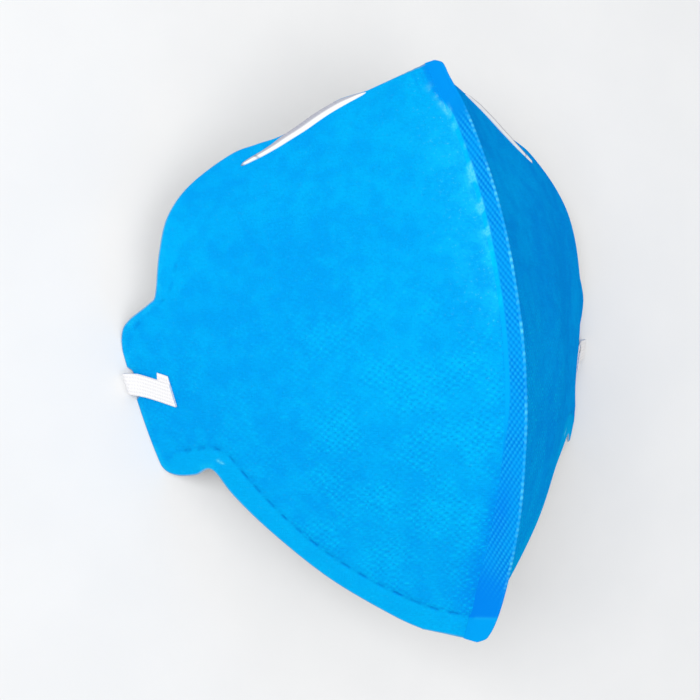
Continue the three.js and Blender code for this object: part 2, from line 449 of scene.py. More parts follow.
@dataclass(frozen=True)
class NonwovenFinish:
    """The blue outer layer of the panels: a spunbond bonded at rows of points, smooth on its pressed hem.

    Attributes:
        name: the material's name.
        deep, pale: the ends of its soft mottle.
        hem, dash, streak, pressed_and_shade: the pressed hem, a weld dash, a painted highlight along the seam
        and on the tab's edge, and painted shade beside the seam and in its creases, with the smooth pressed
        band at the nose.
        thread: a painted glint on a single fibre that stands up.
        cut: the white layers where they show at the cut edge.
        pit, tuft: a bond point, and the fibres that stand up between bond points.
        cloud, patch, mottle, fleck: the noises that it is made of, from coarse to fine, by their scale.
        shares: how much of the soft mottle each of the first three makes.
        bonds: waves per millimetre of the two rows of bond points.
        stray, stray_turn: the scale of the noise by which the rows stray, and how far, in radians.
        bond_depth, fibre_depth, fleck_depth: heights in millimetres.
    """

    name: str = "shell_blue"
    deep: Colour = (0.0015, 0.35, 0.87)
    pale: Colour = (0.0015, 0.465, 0.95)
    hem: Colour = (0.0015, 0.45, 0.92)
    dash: Colour = (0.0015, 0.20, 0.66)
    streak: Colour = (0.01, 0.59, 0.97)
    thread: Colour = (0.14, 0.72, 0.95)
    pressed_and_shade: Colour = (0.0015, 0.27, 0.87)
    pit: Colour = (0.0015, 0.24, 0.70)
    tuft: Colour = (0.0015, 0.60, 0.97)
    cut: Colour = (0.36, 0.50, 0.68)
    cloud: float = 26.0
    patch: float = 85.0
    mottle: float = 210.0
    fleck: float = 1100.0
    shares: Colour = (0.5, 0.24, 0.26)
    bonds: tuple[Colour, Colour] = ((0.44, 0.48, 0.0), (0.38, -0.60, 0.0))
    stray: float = 380.0
    stray_turn: float = 12.0
    bond_depth: float = 0.05
    fibre_depth: float = 0.08
    fleck_depth: float = 0.03
    roughness: float = 0.75

    def build(self) -> bpy.types.Material:
        """The material, from the soft mottle under its bonds, fibres, painted light and shade, and dashes.

        Returns:
            The material.
        """
        g = Graph(self.name)
        solid = g.place()
        cloud = g.noise(solid, self.cloud, 4.0, 0.55)
        patch = g.noise(solid, self.patch)
        mottle = g.noise(solid, self.mottle, 1.0)
        fleck = g.noise(solid, self.fleck, 3.0, 0.7)
        warp = g.noise(g.place((0.3, 2.6, 1.0), 0.35, flat=True), 1.0, 4.0, 0.65)
        weft = g.noise(g.place((2.6, 0.3, 1.0), 0.1, flat=True), 1.0, 4.0, 0.65)
        # the bond points show more where the grain mark is high, which is partly painted light
        shown = g.mark("grain") * (0.25 + patch.between(0.38, 0.6) * 0.75) * fleck.between(0.25, 0.65)
        bonds = g.lattice(self.bonds, g.noise(solid, self.stray) * self.stray_turn)
        soft = (cloud.between(0.32, 0.68) * self.shares[0] + patch.between(0.38, 0.62) * self.shares[1]
                + mottle.between(0.38, 0.62) * self.shares[2])
        colour = g.coats(
            # the mottle is darkened as painted shade away from the seam, towards the chin and over the upper
            # part
            g.blend(soft - g.mark("shade_falloff") * 0.25, self.deep, self.pale),
            # painted shade beside the seam and in the fine creases, with the smooth pressed band at the nose
            (g.mark("pressed_and_shade") * 0.9, self.pressed_and_shade),
            (g.mark("hem") * 0.6, self.hem),
            (weft.between(0.5, 0.75) * 0.10, self.pit),
            (warp.between(0.45, 0.7) * (0.1 + g.mark("glinting_fibres") * 0.15), self.tuft),
            (bonds.between(0.15, 0.85) * shown * 0.5, self.pit),
            ((-1.0 * bonds).between(0.15, 0.85) * shown * 0.55, self.tuft),
            # a painted highlight along the seam and on the tab's edge, broken into blotches
            (g.mark("streak") * broken_highlight(mottle, fleck), self.streak),
            # painted glints on single fibres, more of them near the seam's upper part
            (fleck.between(0.6, 0.74) * (0.05 + g.mark("glinting_fibres") * 0.3), self.thread),
            # painted glints along the smooth band's edge at the nose and above the notch
            (g.mark("threads") * broken_glints(mottle, fleck) * 0.8, self.thread),
            ((1.0 - fleck).between(0.6, 0.78) * 0.25, self.pit),
            (g.mark("dash") * (0.5 + fleck * 0.4), self.dash),
            (g.mark("cut") * (0.5 + fleck * 0.6), self.cut))
        fibres = warp.between(0.35, 0.7) + weft.between(0.35, 0.7)
        return g.finish({
            "Base Color": colour,
            "Roughness": self.roughness - g.mark("hem") * 0.14 - g.mark("dash") * 0.1,
            "Normal": g.bump(fibres * self.fibre_depth + fleck * self.fleck_depth
                             - bonds * shown * self.bond_depth),
            "Specular IOR Level": 0.0,
        })


@dataclass(frozen=True)
class LiningFinish:
    """The white inner layer of the panels, bonded at rows of points.

    Attributes:
        colour, hollow: the cloth, and its bond points.
        bonds: waves per millimetre of the two rows of bond points.
        bond_depth, fuzz_depth: heights in millimetres.
    """

    colour: Colour = (0.80, 0.82, 0.84)
    hollow: Colour = (0.66, 0.70, 0.74)
    bonds: tuple[Colour, Colour] = ((0.40, 0.42, 0.0), (0.40, -0.42, 0.0))
    bond_depth: float = 0.05
    fuzz_depth: float = 0.06

    def build(self) -> bpy.types.Material:
        """The material, from its bonds, a soft cloud and fuzz.

        Returns:
            The material.
        """
        g = Graph("shell_white")
        bonds = g.lattice(self.bonds).between(0.1, 0.8)
        fuzz = g.noise(g.place((1.0, 5.0, 1.0), flat=True), 1.3, 4.0, 0.6)
        cloud = g.noise(g.place(), 55.0, 3.0)
        return g.finish({
            "Base Color": g.blend(bonds * 0.5 + cloud.between(0.4, 0.8) * 0.2 + g.mark("dash") * 0.4,
                                  self.colour, self.hollow),
            "Roughness": 0.85 - g.mark("hem") * 0.2,
            "Normal": g.bump(fuzz * self.fuzz_depth - bonds * self.bond_depth),
            "Specular IOR Level": 0.3,
        })


@dataclass(frozen=True)
class SeamFinish:
    """The welded centre seam: darker in the crimp's pits, pale on its beads, smooth at both ends.

    Attributes:
        colour, pit, bead: the flat cloth, the crimp's pits and the dots that stand up between them.
        dash: the beads on the outer edge, and the painted glints along the foot.
        end, top: its pressed ends at the chin and at the nose; the chin's end and a spot by the foot also
            carry painted shade.
        hem, root: the hem below the chin's end, and the panels' cloth at the foot.
        streak: the painted highlight along the foot.
        cloud, mottle, fleck: the noises that it is made of, from coarse to fine, by their scale.
    """

    colour: Colour = (0.0015, 0.335, 0.86)
    pit: Colour = (0.0015, 0.185, 0.70)
    bead: Colour = (0.02, 0.53, 0.94)
    dash: Colour = (0.11, 0.68, 0.95)
    end: Colour = (0.0015, 0.235, 0.84)
    top: Colour = (0.0015, 0.29, 0.86)
    hem: Colour = (0.0015, 0.375, 0.895)
    root: Colour = (0.0015, 0.44, 0.93)
    streak: Colour = (0.0015, 0.60, 0.97)
    cloud: float = 75.0
    mottle: float = 210.0
    fleck: float = 1400.0

    def build(self) -> bpy.types.Material:
        """The material, from the cloth under its pressed places and painted shade, its pits, its painted
        highlight and glints, and its beads.

        Returns:
            The material.
        """
        g = Graph("seam_blue")
        solid = g.place()
        cloud = g.noise(solid, self.cloud, 3.0, 0.6)
        mottle = g.noise(solid, self.mottle, 1.0)
        fleck = g.noise(solid, self.fleck, 3.0)
        patchy = 0.45 + 0.55 * cloud.between(0.42, 0.6)
        colour = g.coats(
            g.blend(cloud.between(0.4, 0.7) * 0.35, self.colour, self.pit),
            (g.mark("top") * 0.7, self.top),
            # the end colour is partly the pressed end, partly painted shade
            (g.mark("end") * 0.9, self.end),
            (g.mark("hem") * 0.8, self.hem),
            (g.mark("root") * 0.85, self.root),
            (g.mark("pit") * (0.3 + 0.5 * patchy), self.pit),
            # a painted highlight along the foot
            (g.mark("streak") * broken_highlight(mottle, fleck), self.streak),
            # painted glints along the foot
            (g.mark("threads") * broken_glints(mottle, fleck) * 0.8, self.dash),
            # curl_highlight is a painted highlight where the hem crosses the fin
            (g.mark("bead") * patchy * 0.8 + g.mark("curl_highlight") * 0.2, self.bead),
            (g.mark("edge") * (0.35 + mottle.between(0.4, 0.6) * 0.5), self.dash))
        return g.finish({
            "Base Color": colour,
            "Roughness": 0.6 + g.mark("pit") * 0.15 + fleck * 0.08,
            "Normal": g.bump(fleck * 0.04 + cloud * 0.1),
            "Specular IOR Level": 0.0,
        })


@dataclass(frozen=True)
class ElasticFinish:
    """White flat elastic: ribs along it, crossed by fine rows of stitches.

    Attributes:
        colour, hollow: the ribs, and the hollows between them and between the stitches.
        stitches: waves per millimetre of the two rows of stitches.
        row_depth, fuzz_depth: heights in millimetres.
    """

    colour: Colour = (0.91, 0.90, 0.91)
    hollow: Colour = (0.66, 0.67, 0.72)
    stitches: tuple[Colour, Colour] = ((0.5, 1.25, 0.0), (0.5, -1.25, 0.0))
    row_depth: float = 0.05
    fuzz_depth: float = 0.03

    def build(self) -> bpy.types.Material:
        """The material, from its ribs, its rows of stitches and a little fuzz.

        Returns:
            The material.
        """
        g = Graph("elastic_white")
        rows = g.lattice(self.stitches).between(-0.3, 0.8)
        fuzz = g.noise(g.place((3.0, 1.0, 1.0), flat=True), 2.2, 3.0)
        return g.finish({
            "Base Color": g.blend(g.mark("rib") * 0.28 + rows * 0.14 + fuzz.between(0.5, 0.8) * 0.2,
                                  self.colour, self.hollow),
            "Roughness": 0.78 + fuzz * 0.1,
            "Normal": g.bump(fuzz * self.fuzz_depth - rows * self.row_depth),
            "Specular IOR Level": 0.3, "Sheen Weight": 0.1, "Sheen Roughness": 0.5,
        })


@dataclass(frozen=True)
class StripFinish:
    """The white nose strip: smooth and dull, with a grain along it, painted shade across a crease and a grey
    band of painted shade along its outer edge.
    """

    colour: Colour = (0.90, 0.91, 0.915)
    # crease and rim are painted shade
    crease: Colour = (0.10, 0.22, 0.36)
    rim: Colour = (0.30, 0.31, 0.40)

    def build(self) -> bpy.types.Material:
        """The material, from its grain, its rim and its crease.

        Returns:
            The material.
        """
        g = Graph("strip_white")
        grain = g.noise(g.place((0.4, 6.0, 1.0), flat=True), 1.5, 3.0)
        colour = g.coats(
            g.blend(grain.between(0.4, 0.8) * 0.12, self.colour, self.crease),
            (g.mark("rim") * (0.5 + grain * 0.6), self.rim),
            (g.mark("crease") * 0.9, self.crease))
        return g.finish({
            "Base Color": colour,
            "Roughness": 0.42 + grain * 0.15,
            "Normal": g.bump(grain * 0.02),
            "Specular IOR Level": 0.4,
        })


@dataclass(frozen=True)
class FloorFinish:
    """A plain pale surface with the faintest tooth."""

    colour: Colour = (0.84, 0.845, 0.85)
    tooth: Colour = (0.82, 0.827, 0.835)

    def build(self) -> bpy.types.Material:
        """The material, from one soft cloud.

        Returns:
            The material.
        """
        g = Graph("floor_pale")
        cloud = g.noise(g.place(), 30.0, 3.0)
        return g.finish({
            "Base Color": g.blend(cloud.between(0.3, 0.7), self.colour, self.tooth),
            "Roughness": 0.7 + cloud * 0.1,
            "Specular IOR Level": 0.2,
        })


# ------------------------------------------------------------------ the mask's form


class Side(Enum):
    """A half of the mask, by the sign of its x."""

    RIGHT = -1
    LEFT = 1

    @property
    def word(self) -> str:
        """The side's name in the names of pieces."""
        return self.name.lower()

    def seen(self, points: np.ndarray) -> np.ndarray:
        """Points of the right half, or where the left half has them.

        The left half is the mirror image. On its tab the strap draws the edge in, and the foot of the tab
        spreads out and towards the chin, each by a bell curve of y that fades with height.

        Args:
            points: the right half's points, in millimetres.

        Returns:
            This half's points.
        """
        if self is Side.RIGHT:
            return points
        x, y, z = np.moveaxis(points * np.array([-1.0, 1.0, 1.0]), -1, 0)
        low = smoothstep(26, 4, z)
        drawn = -1.3 * bell(y + 2, 9) * low * smoothstep(68, 75, x)
        spread = 2.2 * bell(y + 27, 10) * low
        to_chin = 2.4 * bell(y + 31, 8) * low
        return np.stack([x + drawn + spread, y - to_chin, z], axis=-1)

    def wall(self, outer: np.ndarray, inner: np.ndarray, flat: np.ndarray,
             marks: dict[str, np.ndarray]) -> Wall:
        """This half's wall.

        Args:
            outer, inner, flat, marks: the right half's wall.

        Returns:
            The wall, with its faces outward.
        """
        return Wall(self.seen(outer), self.seen(inner), flat, marks, mirrored=self is Side.LEFT)


@dataclass(frozen=True)
class MaskForm:
    """The curved form that the two panels share. All sizes in millimetres.

    Attributes:
        wall: thickness of the panel's layered cloth.
        gap: clearance between the panels at the weld.
        strap_pass: how high the tab's edge is lifted where the strap ends pass under it.
        pass_span: y over which it is lifted.
        section_end: y of the outermost section, at the nose and, negative, at the chin.
        sections: from the chin to the nose, the weld's height, how fast the panel falls outward at the
            weld, and how fast it then turns down, per metre.
        outline: the panel's free edge from the nose to the chin: the weld's y that the row starts from,
            and y and z where it meets the edge.
    """

    wall: float = 1.4
    gap: float = 0.3
    strap_pass: float = 1.3
    pass_span: Span = (-8.1, -6.9, -0.3, 0.9)
    section_end: float = 80.0
    sections: Table = (
        (48.2, 1.20, 3.9), (59.6, 1.20, 4.2), (70.4, 1.20, 4.2), (77.3, 1.19, 3.6), (79.3, 1.19, 2.98),
        (76.7, 1.19, 2.1), (70.5, 1.19, 1.15), (60.2, 1.18, 0.75), (46.8, 1.18, 0.7),
    )
    outline: Table = (
        (78.2, 71.9, 39.7), (75.5, 70.3, 35.2), (72, 67.6, 33.1), (68.5, 63.9, 30.7),  # nose, bridge
        (65, 61.3, 27.5), (61.5, 59.9, 23.8), (58, 57.7, 19.6), (52, 50.5, 14.5),  # under the eye
        (44, 42.6, 12.3), (34, 32.1, 11.8), (24, 20.8, 10.8),  # cheek, tab root
        (20, 18.1, 9.0), (16.4, 14.1, 3.6), (13.6, 10.9, 1.2),  # tab neck, shoulder, top
        (11, 5.5, 0), (8, -2.3, 0), (5, -10.2, 0), (2, -18, 0),  # tab rest
        (-0.6, -27.4, 0), (-2.4, -30.4, 3.0),  # tab foot
        (-4.6, -30.4, 9.4), (-12, -28.9, 14.6),  # foot, notch
        (-24, -36.3, 17.6), (-42, -48.8, 24), (-58, -60.6, 30.5),  # jaw
        (-70.5, -71.5, 38.6), (-78.2, -75.5, 42.4),  # under the chin, chin
    )

    def _section(self, y: np.ndarray) -> np.ndarray:
        """Weld height, fall and turn at y."""
        t = (np.asarray(y, float) + self.section_end) / (2 * self.section_end)
        return catmull_rom(self.sections, t)

    def weld_height(self, y: np.ndarray) -> np.ndarray:
        """The weld's height at y."""
        return self._section(y)[..., 0]

    def face(self, y: np.ndarray, drop: np.ndarray) -> np.ndarray:
        """The right panel's outer face: x = -(gap/2 + fall drop - turn drop^2).

        Args:
            y: along the mask.
            drop: down from the weld.

        Returns:
            The points there.
        """
        weld, fall, turn = np.moveaxis(self._section(y), -1, 0)
        x = -(self.gap / 2 + fall * drop - turn * MM * drop**2)
        return np.stack([x, y + 0 * drop, weld - drop], axis=-1)

    def face_at_height(self, y: np.ndarray, z: np.ndarray) -> np.ndarray:
        """The right panel's outer face at y and z."""
        return self.face(y, self.weld_height(y) - z)

    def outward(self, y: np.ndarray, drop: np.ndarray, step: float = 0.5) -> np.ndarray:
        """The direction out of the right panel's face, square to its slopes along y and down.

        Args:
            y, drop: the places.
            step: how far to each side of them the slopes are taken.

        Returns:
            A unit vector for each place.
        """
        down = self.face(y, drop + step) - self.face(y, drop - step)
        to_chin = self.face(y - step, drop) - self.face(y + step, drop)
        return unit(np.cross(down, to_chin))

    def flat(self, y: np.ndarray, drop: np.ndarray) -> np.ndarray:
        """The flat place in the cloth: the length of the bent row from the weld, and y."""
        _, fall, turn = np.moveaxis(self._section(y), -1, 0)
        return np.stack([drop * np.hypot(1, fall - turn * MM * drop), y + 0 * drop], axis=-1)

    def edge_rows(self, t: np.ndarray) -> np.ndarray:
        """Rows of the outline, with the edge lifted over the strap ends.

        Args:
            t: places on the outline, from 0 at the nose to 1 at the chin.

        Returns:
            For each, the weld's y, then y and drop of the edge.
        """
        rows = catmull_rom(self.outline, t)
        y = rows[..., 1]
        over_strap = plateau(self.pass_span, y) * self.strap_pass
        rows[..., 2] = self.weld_height(y) - np.maximum(rows[..., 2], over_strap)
        return rows

    def edge_line(self, spacing: float = 0.6) -> np.ndarray:
        """The whole free edge, with its two straight ends up to the weld.

        Args:
            spacing: how far apart its corners are.

        Returns:
            A polyline from the weld's nose end to its chin end.
        """
        rows = self.edge_rows(np.linspace(0, 1, FINE))
        ends = [np.stack([np.linspace(a, b, 60), np.linspace(0, drop, 60)], axis=-1)
                for a, b, drop in (rows[0], rows[-1])]
        flat = np.vstack([ends[0], rows[:, 1:], ends[1][::-1]])
        line = self.face(flat[:, 0], flat[:, 1])
        return evenly(line, int(run_of(line)[-1] / spacing))


@dataclass(frozen=True)
class Dent:
    """A soft dent, or a swelling where depth is negative, on a panel. All sizes in millimetres."""

    y: float
    drop: float
    along: float
    down: float
    depth: float

    def at(self, y: np.ndarray, drop: np.ndarray) -> np.ndarray:
        """How far it lies below the smooth face: a bell along y times a bell down the panel."""
        return self.depth * bell(y - self.y, self.along) * bell(drop - self.drop, self.down)


@dataclass
class Lie:
    """How each point of a panel's grid lies to the panel's lines. Arrays of one shape, in millimetres.

    Attributes:
        y: along the mask.
        weld, edge: how far away the weld is along the cloth, and the free edge.
        hem_row, neck_row, notch_glint: how far away the two rows of dashes and the painted glint above the
            notch are.
        inside: how far inside the jaw's row the point lies.
        hem, dash: 1 on the pressed hem and on a weld dash.
        crease: the fine creases beside the seam at the nose, from -1 to 1.
    """

    y: np.ndarray
    weld: np.ndarray
    edge: np.ndarray
    hem_row: np.ndarray
    neck_row: np.ndarray
    notch_glint: np.ndarray
    inside: np.ndarray
    hem: np.ndarray
    dash: np.ndarray
    crease: np.ndarray


@dataclass
class Panel:
    """One half of the shell, one closed wall from the weld to its free edge. All sizes in millimetres.

    Attributes:
        form: the shared form.
        side: which half.
        dents: the soft dents of this half.
        rows, columns: the grid's size from the nose to the chin and from the weld to the edge.
        bow, bow_span: how strongly the rows to the tab are bent, and the weld's y of those rows.
        stay: where along the outline the weld's end of a row is, and where its edge's end then is.
        outer_part, outer_share: how much of a row is the outer part with columns of its own, and the most
            of a short row that it may be.
        hem_row: y and z of the row of weld dashes along the jaw, from the tab to the chin.
        neck_row: y and z of the fainter one at the tab's neck.
        neck_strength: how strongly that one shows.
        notch_glint: y and z of a short painted glint above the notch.
        dash, dash_pitch, dash_width, dash_depth: a dash's length, their spacing, width and depth.
        hem_drop, hem_wall: how much lower the pressed hem lies than the panel, and how thick it is.
        foot: y and z of the tab's foot, from where the hem runs to the chin.
        rounding: how far in from the edge both faces close up on one another.
        lowest: the least height over the surface that the mask stands on.
        streak_span, threads_span, rim_highlight_span: y over which the painted highlight beside the seam, the
        painted glints there and the painted highlight on the tab's edge show.
        top_from, top_grows, top_wide: y over which the smooth band beside the seam at the nose comes in,
            y over which it grows to its full width, and that width.
        shade_spots: the places beside the seam painted darker as shade, each by y, its reach along y and from
            the weld.
    """

    form: MaskForm
    side: Side
    dents: tuple[Dent, ...]
    rows: int = 420
    columns: int = 112
    bow: float = 0.8
    bow_span: Span = (-45, -20, 15, 45)
    stay: Table = ((0.0, 0.04, 0.16, 1.0), (0.0, 0.0, 0.16, 1.0))
    outer_part: float = 10.0
    outer_share: float = 0.34
    hem_row: Table = (
        (-23.6, 7.5), (-22.8, 12.5), (-22.5, 17.0), (-24.6, 20.4), (-29.0, 22.3), (-35.5, 25.0),
        (-43.6, 28.5), (-52.0, 32.8), (-59.3, 37.6), (-65.0, 42.6), (-68.9, 46.8), (-70.6, 50.2),
        (-71.2, 53.6),
    )
    neck_row: Table = ((30, 16.0), (22.2, 14.6), (18.6, 12.4), (16.0, 9.6), (12.3, 5.4), (9.0, 3.4))
    neck_strength: float = 0.45
    notch_glint: Table = ((-26.2, 17.5), (-26.9, 18.1), (-27.8, 18.6), (-28.7, 19.0))
    dash: float = 2.5
    dash_pitch: float = 5.3
    dash_width: float = 0.6
    dash_depth: float = 0.34
    hem_drop: float = 0.25
    hem_wall: float = 0.9
    foot: tuple[float, float] = (-29.0, 1.5)
    rounding: float = 0.55
    lowest: float = 0.03
    streak_span: Span = (0, 20, 58, 68)
    threads_span: Span = (24, 30, 68, 73)
    rim_highlight_span: Span = (-34, -26, 20, 50)
    top_from: tuple[float, float] = (60, 65)
    top_grows: tuple[float, float] = (61, 71)
    top_wide: float = 2.5
    shade_spots: Table = ((-42, 9, 2.8), (-62, 13, 6.5))

    def _pairs(self, t: np.ndarray) -> np.ndarray:
        """Rows of the outline whose edge stays at the nose's corner until the weld is past it.

        Args:
            t: places on the outline, from 0 at the nose to 1 at the chin.

        Returns:
            For each, the weld's y, then y and drop of the edge.
        """
        rows = self.form.edge_rows(np.interp(t, *self.stay))
        rows[:, 0] = self.form.edge_rows(t)[:, 0]
        return rows

    def grid(self) -> tuple[np.ndarray, np.ndarray]:
        """The grid's points, in rows from the weld to the edge.

        A row's y runs from the weld's to the edge's as u to the power bow, which is 1, a straight row, but
        for the rows to the tab, and so no row crosses the notch below the tab.

        The rows are spaced evenly by a mean of the length run along the edge and along the weld. The
        first few all end at the edge's corner by the nose. In a row, the outer part, or a third of a
        short row, gets a quarter of the columns.

        Returns:
            y and drop of each point.
        """
        places = np.linspace(0, 1, FINE)
        fine = self._pairs(places)
        edge_run = run_of(self.form.face(fine[:, 1], fine[:, 2]))
        weld_run = fine[0, 0] - fine[:, 0]
        measure = 0.62 * edge_run / edge_run[-1] + 0.38 * weld_run / weld_run[-1]
        t = np.interp(np.linspace(0, 1, self.rows), measure, places)
        weld_y, edge_y, edge_drop = np.moveaxis(self._pairs(t)[:, None, :], -1, 0)
        length = np.hypot(weld_y - edge_y, edge_drop) * 1.35
        outer_part = np.minimum(self.outer_part / length, self.outer_share)
        near_edge = self.columns // 4
        inward = np.linspace(0, 1, self.columns - near_edge)[None]
        outward = np.linspace(0, 1, near_edge + 1)[None, 1:]
        u = np.concatenate([inward * (1 - outer_part), 1 - outer_part * (1 - outward)], axis=1)
        bow = 1 + self.bow * plateau(self.bow_span, weld_y)
        return weld_y + (edge_y - weld_y) * u**bow, edge_drop * u

    def _line(self, rows: Table) -> np.ndarray:
        """The polyline on the face through a table of y and z."""
        return self.form.face_at_height(*catmull_rom(rows, np.linspace(0, 1, 300)).T)

    def _dashes(self, distance: np.ndarray, along: np.ndarray) -> np.ndarray:
        """Dashes of uneven length and strength, evenly spaced along their row.

        Args:
            distance: how far each point is from the row.
            along: the length run along the row at its nearest place.

        Returns:
            1 on a dash and 0 off it, smooth between.
        """
        count, phase = np.divmod(along / self.dash_pitch, 1)
        uneven = np.sin(count * 2.3) * 0.5 + np.sin(count * 5.1 + 1.0) * 0.5
        reach = self.dash / 2 * (1 + 0.3 * uneven)
        off = np.abs(phase - 0.5) * self.dash_pitch
        on_dash = 1 - smoothstep(-0.45, 0.45, off - reach)
        on_line = 1 - smoothstep(self.dash_width * 0.3, self.dash_width * 1.25, distance)
        return on_dash * on_line * (0.8 + 0.2 * np.sin(count * 3.7))

    def _lie(self, points: np.ndarray, weld: np.ndarray) -> Lie:
        """How the points lie to the free edge, the rows of dashes and the seam.

        The hem is 1 outside the jaw's row of dashes, from the tab's foot to the chin.

        Args:
            points: the grid's points on the form's face.
            weld: how far away the weld is along the cloth.

        Returns:
            What the wall and its marks are made from.
        """
        y = points[..., 1]
        edge, row = self.form.edge_line(), self._line(self.hem_row)
        from_edge, edge_run = nearest_on(edge, points)
        to_row, row_run = nearest_on(row, points)
        to_neck, neck_run = nearest_on(self._line(self.neck_row), points)
        inside = from_edge - np.interp(row_run, run_of(row), nearest_on(edge, row)[0])
        foot = self.form.face_at_height(*(np.array([value]) for value in self.foot))
        on_jaw = smoothstep(-5, 4, edge_run - nearest_on(edge, foot)[1])
        dash = self._dashes(to_row, row_run) * smoothstep(1.0, 5.0, weld)
        return Lie(
            y=y, weld=weld, edge=from_edge, hem_row=to_row, neck_row=to_neck,
            notch_glint=nearest_on(self._line(self.notch_glint), points)[0],
            inside=inside, hem=(1 - smoothstep(-0.8, 0.5, inside)) * on_jaw,
            dash=np.maximum(dash, self._dashes(to_neck, neck_run) * self.neck_strength),
            crease=np.sin(weld * 2.6) * bell(y - 73, 5) * bell(weld - 4, 4))

    def _marks(self, lie: Lie) -> dict[str, np.ndarray]:
        """What the finish reads.

        Args:
            lie: how the points lie to the panel's lines.

        Returns:
            Named values, 0 where their place on the cloth is plain and 1 where it is fully marked.
        """
        y, weld = lie.y, lie.weld
        # painted highlight beside the seam, and on the tab's edge
        seam_highlight = plateau(self.streak_span, y) * (0.85 * bell(weld - 0.2, 1.8) + 0.4 * bell(weld - 2, 8))
        rim = 0.4 * bell(lie.edge - 1.2, 0.8) * plateau(self.rim_highlight_span, y)
        top_way = self.top_wide * smoothstep(*self.top_grows, y)
        top = smoothstep(*self.top_from, y) * smoothstep(top_way + 0.5, top_way - 0.5, weld)
        # spots of painted shade beside the seam
        pressed_and_shade = sum(bell(y - at, along) * bell(weld, away) for at, along, away in self.shade_spots)
        # stronger towards the chin and the seam: partly wear and pressing, partly painted light
        grain = (0.2 + 0.8 * smoothstep(30, -18, y)) * (1 - 0.65 * smoothstep(44, 70, weld))
        return {
            "hem": lie.hem,
            "dash": lie.dash,
            "streak": np.maximum(seam_highlight, rim),
            # painted shade in the spots and on each fine crease at the nose; the smooth band at the nose is
            # pressed
            "pressed_and_shade": pressed_and_shade + np.clip(0.3 * lie.crease, 0, 1) + 0.85 * top,
            "grain": grain * (1 - 0.75 * lie.hem),
            # lighter fibres with painted glints on them, near the seam's upper part
            "glinting_fibres": smoothstep(-15, 10, y) * bell(weld - 3, 7) * smoothstep(78, 70, y),
            # painted glints along the smooth band's edge at the nose, and above the notch
            "threads": plateau(self.threads_span, y) * bell(weld - top_way - 0.1, 1.2) + bell(lie.notch_glint, 0.45),
            "cut": smoothstep(0.55, 0.2, lie.edge) * smoothstep(0.5, 2.0, weld),
            # painted shade: darker away from the seam, towards the chin and over the upper part
            "shade_falloff": np.maximum(smoothstep(28, 52, weld) + 0.5 * smoothstep(-38, -58, y),
                               smoothstep(42, 62, y) * smoothstep(5, 14, weld)),
        }

    def wall(self) -> Wall:
        """The wall: the form's face lowered by dents, hem and dashes, and an inner face below it.

        The outer face lies below the form's by dents + drop of the hem * H + depth * D, where H steps from
        0 to 1 across the row of dashes and D is 1 on a dash, and it is drawn in beside the rows and puffed
        out inside the jaw's. Both faces close up near the edge, which rounds it.

        Returns:
            The closed wall of this half.
        """
        y, drop = self.grid()
        base, out = self.form.face(y, drop), self.form.outward(y, drop)
        flat = self.form.flat(y, drop)
        lie = self._lie(base, flat[..., 0])
        sunk = sum(dent.at(y, drop) for dent in self.dents) * smoothstep(0, 6, lie.weld)
        pinch = 0.14 * bell(lie.hem_row, 1.6) + 0.10 * bell(lie.neck_row, 1.8)
        puff = -0.22 * bell(lie.hem_row, 5.0) * smoothstep(0.0, 2.5, lie.inside)
        sunk = sunk + self.hem_drop * lie.hem + pinch + puff + 0.09 * lie.crease
        thick = self.form.wall + (self.hem_wall - self.form.wall) * lie.hem
        closing = 0.34 * (1 - np.clip(lie.edge / self.rounding, 0, 1)) ** 2
        outer = base - out * (sunk + self.dash_depth * lie.dash + thick * closing)[..., None]
        inner = base - out * (sunk + thick * (1 - closing) - 0.2 * lie.dash)[..., None]
        for surface in (outer, inner):
            surface[..., 2] = np.maximum(surface[..., 2], self.lowest)
        inner[:, 0] = outer[:, 0]
        inner[:, 0, 2] -= thick[:, 0] / out[:, 0, 2]  # mitred, so that the panels meet flat at the weld
        return self.side.wall(outer, inner, flat, self._marks(lie))

    def build(self, outer_finish: bpy.types.Material, lining: bpy.types.Material) -> bpy.types.Object:
        """The piece, a sheet of cloth.

        Args:
            outer_finish, lining: the finishes of its two faces.

        Returns:
            The piece.
        """
        piece = stand_in(f"panel_{self.side.word}", "cloth", [self.wall()], [outer_finish, lining])
        return piece


